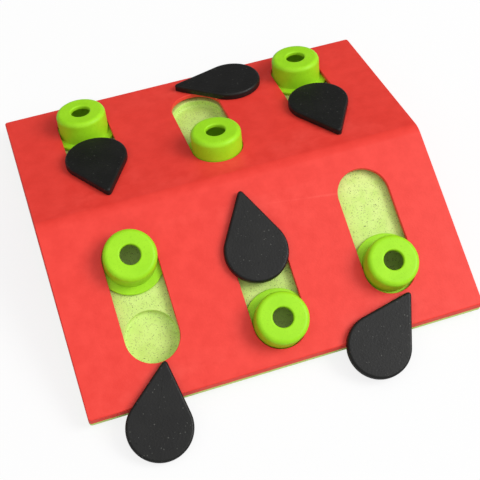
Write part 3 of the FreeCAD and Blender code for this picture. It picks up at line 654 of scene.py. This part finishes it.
def add_flecks(finish, fleck, closeness, reach, share):
    """Lay flecks of one colour over whatever colour the material has so far."""
    nodes = finish.node_tree.nodes
    shader = nodes["Principled BSDF"]
    before = shader.inputs["Base Color"].links[0].from_socket
    flecks = nodes.new("ShaderNodeGroup")
    flecks.node_tree = FLECKED_SURFACE
    flecks.inputs["Fleck"].default_value = (*fleck, 1)
    flecks.inputs["Closeness"].default_value = closeness
    flecks.inputs["Reach"].default_value = reach
    flecks.inputs["Share"].default_value = share
    coordinates = next(node for node in nodes if node.type == "TEX_COORD")
    add_link(finish, coordinates, "Object", flecks, "Position")
    finish.node_tree.links.new(before, flecks.inputs["Base"])
    add_link(finish, flecks, "Color", shader, "Base Color")


pale_lime = moulded_plastic(
    "pale_lime_flecked",
    (0.68, 0.91, 0.25),
    (0.60, 0.84, 0.195),
    # Pale yellow edge colour: edge wear plus a painted highlight along the rim's top edge.
    (1.0, 0.92, 0.50),
    cloud=110.0,
    grain=900.0,
    height=0.00008,
    sheen=0.2,
)
add_flecks(pale_lime, (0.36, 0.48, 0.14), 1300.0, 0.6, 0.75)
add_flecks(pale_lime, (0.13, 0.19, 0.05), 700.0, 0.28, 0.5)
add_flecks(pale_lime, (0.05, 0.08, 0.02), 330.0, 0.14, 0.35)
dress(tray, pale_lime, "case", "base_tray")


# Sliders. Each is one lime moulding: a hollow round knob with a finger hole in its top, on a wider
# flange that runs between the cover and the tray. All edges that a paw meets are well rounded.
FLANGE_RADIUS, FLANGE_LOW, FLANGE_TOP = 0.0236, -0.0057, -0.0033
KNOB_RADIUS, KNOB_HEIGHT = 0.0182, 0.0145
HOLE_RADIUS, KNOB_WALL, KNOB_PLATE = 0.007, 0.0024, 0.003
SLIDER_DOWN = {
    "front_left": 0.0384,
    "front_middle": 0.1068,
    "front_right": 0.0905,
    "back_left": 0.1028,
    "back_middle": 0.0374,
    "back_right": 0.1046,
}


def extrude_face(down, scale=1.0):
    """Extrude the selected level face along Z, then widen or narrow its new end about the Z axis."""
    bpy.ops.mesh.extrude_region_move(TRANSFORM_OT_translate={"value": (0, 0, down)})
    if scale != 1.0:
        bpy.ops.transform.resize(value=(scale, scale, 1), center_override=(0, 0, 0))


def pick_end(piece, height):
    """Select the level end face at a height."""
    pick(piece, "faces", lambda centre, normal: abs(centre.z - height) < TOUCH and abs(normal.z) > 0.99)


def bevel_ring(piece, radius, height, width, segments):
    """Round the circular edge of a radius at a height."""

    def on_ring(a, b):
        return all(
            abs(point.z - height) < TOUCH and abs(math.hypot(point.x, point.y) - radius) < ON_FACE
            for point in (a, b)
        )

    pick(piece, "edges", on_ring)
    bevel_picked(width, segments)
    bpy.ops.object.mode_set(mode="OBJECT")


def clean_up(piece):
    """Merge doubled points and turn all faces outward."""
    pick_all(piece)
    bpy.ops.mesh.remove_doubles(threshold=TOUCH)
    bpy.ops.mesh.normals_make_consistent(inside=False)
    bpy.ops.object.mode_set(mode="OBJECT")


def hollow_knob(name):
    """A cylinder whose foot is flared into the flange and run up inside, and whose top is opened."""
    cavity, ceiling = KNOB_RADIUS - KNOB_WALL, KNOB_HEIGHT - KNOB_PLATE
    knob = post((0, 0), KNOB_RADIUS, FLANGE_TOP, KNOB_HEIGHT, 96)
    knob.name = name
    pick_end(knob, FLANGE_TOP)
    extrude_face(0.0, FLANGE_RADIUS / KNOB_RADIUS)
    extrude_face(FLANGE_LOW - FLANGE_TOP)
    extrude_face(0.0, cavity / FLANGE_RADIUS)
    extrude_face(ceiling - FLANGE_LOW)
    extrude_face(0.0, HOLE_RADIUS / cavity)
    bpy.ops.mesh.delete(type="FACE")
    pick_end(knob, KNOB_HEIGHT)
    extrude_face(0.0, HOLE_RADIUS / KNOB_RADIUS)
    extrude_face(ceiling - KNOB_HEIGHT)
    bpy.ops.mesh.delete(type="FACE")
    clean_up(knob)
    for radius, height, width, segments in (
        (KNOB_RADIUS, KNOB_HEIGHT, 0.0035, 8),
        (HOLE_RADIUS, KNOB_HEIGHT, 0.0012, 5),
        (HOLE_RADIUS, ceiling, 0.0004, 2),
        (cavity, ceiling, 0.0015, 4),
        (FLANGE_RADIUS, FLANGE_TOP, 0.0006, 3),
        (FLANGE_RADIUS, FLANGE_LOW, 0.0006, 3),
        (KNOB_RADIUS, FLANGE_TOP, 0.0004, 2),
    ):
        bevel_ring(knob, radius, height, width, segments)
    return knob


def own_copy(piece, name):
    """A second piece with its own mesh."""
    twin = piece.copy()
    twin.data = piece.data.copy()
    twin.name = name
    bpy.context.collection.objects.link(twin)
    return twin


def grey_bounce(finish, colour):
    """Give the light that the plastic throws on its surroundings a greyer colour than it shows."""
    nodes = finish.node_tree.nodes
    shader = nodes["Principled BSDF"]
    shown = shader.inputs["Base Color"].links[0].from_socket
    thrown = nodes.new("ShaderNodeMix")
    thrown.data_type = "RGBA"
    thrown.inputs["B"].default_value = (*colour, 1)
    finish.node_tree.links.new(shown, thrown.inputs["A"])
    add_link(finish, nodes.new("ShaderNodeLightPath"), "Is Diffuse Ray", thrown, "Factor")
    add_link(finish, thrown, "Result", shader, "Base Color")


lime_plastic = moulded_plastic(
    "lime_slider_plastic",
    (0.405, 0.86, 0.018),
    (0.355, 0.79, 0.012),
    (0.52, 0.90, 0.07),
    cloud=70.0,
    grain=900.0,
    height=0.0001,
    sheen=0.25,
)
add_flecks(lime_plastic, (0.33, 0.73, 0.012), 1400.0, 0.6, 0.6)
grey_bounce(lime_plastic, (0.50, 0.60, 0.22))
first_knob = hollow_knob("slider_knob_pattern")
finish_shading(first_knob)
for name, station in STATIONS.items():
    slider = own_copy(first_knob, f"slider_knob_{name}")
    place_mesh(slider, on_slope(station["side"], station["along"], SLIDER_DOWN[name]))
    dress(slider, lime_plastic, f"slider_{name}", f"slider_{name}")
bpy.data.objects.remove(first_knob)


# Lids. Each is a charcoal teardrop moulding with pale and dark flecks and a well rounded top edge.
# The round post under its point stands in a hole of the cover, so the lid swivels flat over the cup.
LID_HEAD, LID_TIP = 0.0223, 0.0024
LID_HEAD_REACH, LID_TIP_REACH = 0.035, 0.008
LID_GAP, LID_THICKNESS = 0.0003, 0.0052
LID_TOP_EDGE, LID_LOW_EDGE = 0.0019, 0.0005
POST_RADIUS, POST_LOW, POST_IN_LID = 0.002, -0.00305, 0.001
PILOT_RADIUS, PILOT_DEPTH = 0.0009, 0.0052
LID_TURN = {
    "front_left": -110.7,
    "front_middle": -92.0,
    "front_right": -138.2,
    "back_left": 89.5,
    "back_middle": -13.0,
    "back_right": 90.0,
}


def teardrop_lid(name):
    """A disc cut at its tangent line, drawn out to a point, rounded there and made thick."""
    lean = math.asin((LID_HEAD - LID_TIP) / (LID_HEAD_REACH + LID_TIP_REACH - LID_TIP))
    touch_x = LID_HEAD_REACH - LID_HEAD * math.sin(lean)
    apex_x = LID_HEAD_REACH - LID_HEAD / math.sin(lean)
    nothing_selected()
    bpy.ops.mesh.primitive_circle_add(
        vertices=120, radius=LID_HEAD, fill_type="NGON", location=(LID_HEAD_REACH, 0, LID_GAP)
    )
    lid = new_piece(name)
    pick_all(lid)
    bpy.ops.mesh.bisect(plane_co=(touch_x, 0, 0), plane_no=(1, 0, 0), clear_inner=True)
    pick(lid, "edges", lambda a, b: max(a.x, b.x) < touch_x + TOUCH)
    bpy.ops.mesh.extrude_region_move(TRANSFORM_OT_translate={"value": (apex_x - touch_x, 0, 0)})
    bpy.ops.mesh.merge(type="CENTER")
    pick_all(lid)
    bpy.ops.mesh.dissolve_limited(angle_limit=math.radians(0.2))
    pick(lid, "vertices", lambda point: point.x < apex_x + TOUCH)
    bevel_picked(LID_TIP / math.tan(lean), 16, "VERTICES")
    pick_all(lid)
    extrude_face(LID_THICKNESS)
    clean_up(lid)
    pick(lid, "edges", lambda a, b: min(a.z, b.z) > LID_GAP + LID_THICKNESS - TOUCH)
    bevel_picked(LID_TOP_EDGE, 7)
    pick(lid, "edges", lambda a, b: max(a.z, b.z) < LID_GAP + TOUCH)
    bevel_picked(LID_LOW_EDGE, 3)
    bpy.ops.object.mode_set(mode="OBJECT")
    return lid


charcoal = moulded_plastic(
    "charcoal_flecked",
    (0.0085, 0.0085, 0.0078),
    (0.005, 0.005, 0.0046),
    (0.03, 0.03, 0.027),
    grain=700.0,
    height=0.0003,
    gloss=0.40,
    sheen=0.32,
)
add_flecks(charcoal, (0.08, 0.08, 0.072), 620.0, 0.3, 0.4)
add_flecks(charcoal, (0.002, 0.002, 0.002), 420.0, 0.36, 0.6)
first_lid = teardrop_lid("lid_pattern")
pivot_post = post((0, 0), POST_RADIUS, POST_LOW, LID_GAP + POST_IN_LID)
bevel_ring(pivot_post, POST_RADIUS, POST_LOW, 0.0002, 2)
combine(first_lid, [pivot_post], "UNION")
pilot = post((0, 0), PILOT_RADIUS, POST_LOW - POST_IN_LID, POST_LOW + PILOT_DEPTH, 32)
combine(first_lid, [pilot], "DIFFERENCE")
finish_shading(first_lid)
for name, station in STATIONS.items():
    lid = own_copy(first_lid, f"lid_teardrop_{name}")
    turn = math.radians(LID_TURN[name])
    place_mesh(lid, on_slope(station["side"], station["along"], station["pivot"], 0.0, turn))
    dress(lid, charcoal, f"lid_{name}", f"lid_{name}")
bpy.data.objects.remove(first_lid)


# Screws. Zinc-plated pan heads with a cross recess, driven from below: a small one with a wide head
# in each lid's post, and six longer ones up through the tray into the cover's bosses.
DRIVEN_TURN = 37


def pan_screw(name, shank, length, head, height):
    """A turned screw with its head down, a rounded head edge, a blunt point and a cross recess."""
    screw = post((0, 0), head, -height, 0.0)
    screw.name = name
    pick_end(screw, 0.0)
    extrude_face(0.0, shank / head)
    extrude_face(length)
    clean_up(screw)
    bevel_ring(screw, head, -height, height * 0.45, 4)
    bevel_ring(screw, shank, length, shank * 0.4, 2)
    wing, recess = head * 0.5, height * 0.4
    for long_way, short_way in ((wing, wing * 0.28), (wing * 0.28, wing)):
        blade = level_box((-long_way, long_way), (-short_way, short_way), (-2 * height, -recess))
        combine(screw, [blade], "DIFFERENCE")
    finish_shading(screw)
    return screw


def plated_steel(name):
    """Bright zinc with a faint cloudy tint and fine marks that show in its roughness."""
    finish = bpy.data.materials.new(name)
    finish.use_nodes = True
    nodes = finish.node_tree.nodes
    shader = nodes["Principled BSDF"]
    shader.inputs["Metallic"].default_value = 1.0
    place = nodes.new("ShaderNodeTexCoord")
    cloud = nodes.new("ShaderNodeTexNoise")
    cloud.inputs["Scale"].default_value = 400.0
    add_link(finish, place, "Object", cloud, "Vector")
    tint = nodes.new("ShaderNodeMix")
    tint.data_type = "RGBA"
    tint.inputs["A"].default_value = (0.52, 0.52, 0.50, 1)
    tint.inputs["B"].default_value = (0.68, 0.68, 0.66, 1)
    add_link(finish, cloud, "Fac", tint, "Factor")
    add_link(finish, tint, "Result", shader, "Base Color")
    fine = nodes.new("ShaderNodeTexNoise")
    fine.inputs["Scale"].default_value = 3000.0
    add_link(finish, place, "Object", fine, "Vector")
    gloss = nodes.new("ShaderNodeMapRange")
    gloss.inputs["To Min"].default_value = 0.24
    gloss.inputs["To Max"].default_value = 0.42
    add_link(finish, fine, "Fac", gloss, "Value")
    add_link(finish, gloss, "Result", shader, "Roughness")
    return finish


zinc = plated_steel("zinc_plated_steel")
first_pivot = pan_screw("pivot_screw_pattern", shank=0.001, length=0.005, head=0.003, height=0.0013)
for name, station in STATIONS.items():
    screw = own_copy(first_pivot, f"lid_screw_pan_{name}")
    turn = math.radians(LID_TURN[name])
    place_mesh(screw, on_slope(station["side"], station["along"], station["pivot"], POST_LOW, turn))
    dress(screw, zinc, f"lid_{name}", f"lid_screw_{name}")
bpy.data.objects.remove(first_pivot)
first_case_screw = pan_screw("case_screw_pattern", shank=0.0015, length=0.008, head=0.0028, height=0.002)
case_screws = []
for number, (x, y) in enumerate(SCREWS):
    case_screws.append(own_copy(first_case_screw, f"case_screw_{number}"))
    driven = Matrix.Rotation(math.radians(DRIVEN_TURN * number), 4, "Z")
    place_mesh(case_screws[-1], Matrix.Translation((x, y, HEAD_SEAT)) @ driven)
bpy.data.objects.remove(first_case_screw)
all_case_screws = join_up(case_screws)
all_case_screws.name = "case_screws_pan"
dress(all_case_screws, zinc, "case", "case_screws")


# Non-slip pads. Round die-cut rubber pads, stuck on flat seats under the tray's corners.
# Each has a shallow ring groove in its sole and a soft lower edge.
PAD_RADIUS, PAD_HEIGHT = 0.006, 0.002
GROOVE_DEPTH, GROOVE_OUTSIDE, GROOVE_INSIDE = 0.0004, 0.72, 0.6


def ringed_pad(name):
    """A disc with its sole inset twice and the ring between pressed in."""
    pad = post((0, 0), PAD_RADIUS, 0.0, PAD_HEIGHT, 64)
    pad.name = name
    pick_end(pad, 0.0)
    extrude_face(0.0, GROOVE_OUTSIDE)
    extrude_face(GROOVE_DEPTH)
    extrude_face(0.0, GROOVE_INSIDE)
    extrude_face(-GROOVE_DEPTH)
    clean_up(pad)
    bevel_ring(pad, PAD_RADIUS, 0.0, 0.0005, 3)
    bevel_ring(pad, PAD_RADIUS, PAD_HEIGHT, 0.0002, 2)
    finish_shading(pad)
    return pad


dark_rubber = moulded_plastic(
    "dark_rubber",
    (0.055, 0.055, 0.055),
    (0.035, 0.035, 0.035),
    (0.10, 0.10, 0.10),
    grain=2600.0,
    gloss=0.70,
)
first_pad = ringed_pad("pad_pattern")
for name, (x, y) in PADS.items():
    pad = own_copy(first_pad, f"pad_{name}")
    place_mesh(pad, Matrix.Translation((x, y, 0)))
    dress(pad, dark_rubber, "case", name)
bpy.data.objects.remove(first_pad)
